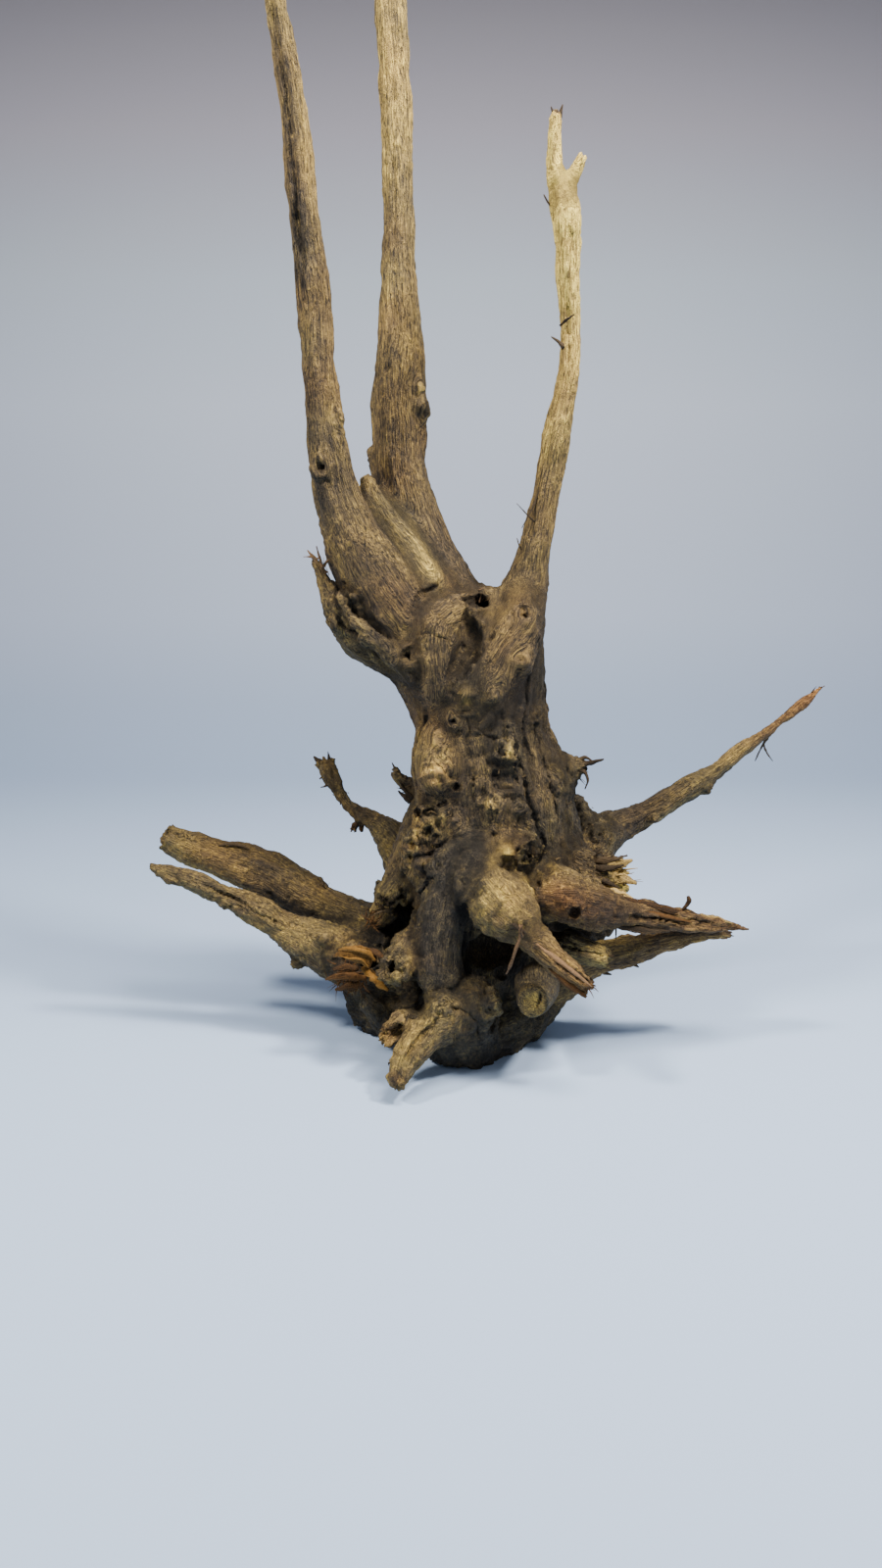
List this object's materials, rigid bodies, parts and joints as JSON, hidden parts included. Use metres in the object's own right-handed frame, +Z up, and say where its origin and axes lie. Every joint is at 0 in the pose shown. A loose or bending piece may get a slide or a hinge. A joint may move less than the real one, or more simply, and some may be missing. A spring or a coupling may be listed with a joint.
{
  "type": "dry tree root",
  "caption": "Weathered dry tree root standing upright: a gnarled trunk with tall bare stems above and broken roots spreading from its base.",
  "frame": {"origin": "middle of the root's bounding box at the level of the faces it stands on", "axes": "+Z up along the stems, +X towards the single long root that rises to the right, +Y away from the side that shows the broken front roots"},
  "size_m": [0.5862, 0.3282, 0.8831],
  "materials": {
    "dry_wood": "bare weathered wood, unsealed and matt"
  },
  "bodies": {
    "root": {"dry_root": "dry_wood"}
  },
  "joints": []
}
